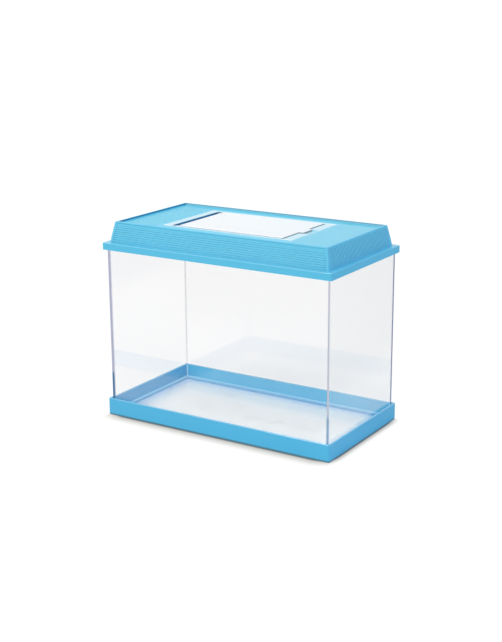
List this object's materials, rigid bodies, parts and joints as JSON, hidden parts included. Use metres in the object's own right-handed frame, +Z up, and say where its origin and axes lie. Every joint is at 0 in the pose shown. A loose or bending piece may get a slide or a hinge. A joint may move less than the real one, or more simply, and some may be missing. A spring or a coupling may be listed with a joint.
{
  "type": "plastic insect box",
  "caption": "Clear oblong insect tank in an open base frame, under a lift-off slotted hood with a clear hinged feeding flap.",
  "frame": {"origin": "on the floor, under the middle of the box", "axes": "+X along the box's long side, +Y towards the back, +Z up"},
  "size_m": [0.3, 0.162, 0.2329],
  "materials": {
    "clear_tank": "gloss",
    "blue_base": "satin",
    "blue_lid": "satin",
    "clear_flap": "gloss"
  },
  "bodies": {
    "box": {"tank": "clear_tank", "base_frame": "blue_base"},
    "lid": {"lid": "blue_lid"},
    "flap": {"feeding_flap": "clear_flap"}
  },
  "joints": [
    {"name": "lid_lift", "type": "slide", "parent": "box", "child": "lid", "axis": [0, 0, 1], "range_m": [0, 0.04]},
    {"name": "flap_hinge", "type": "hinge", "parent": "lid", "child": "flap", "pos_m": [-0.0722, 0, 0.22905], "axis": [0, -1, 0], "range_deg": [0, 105]}
  ]
}
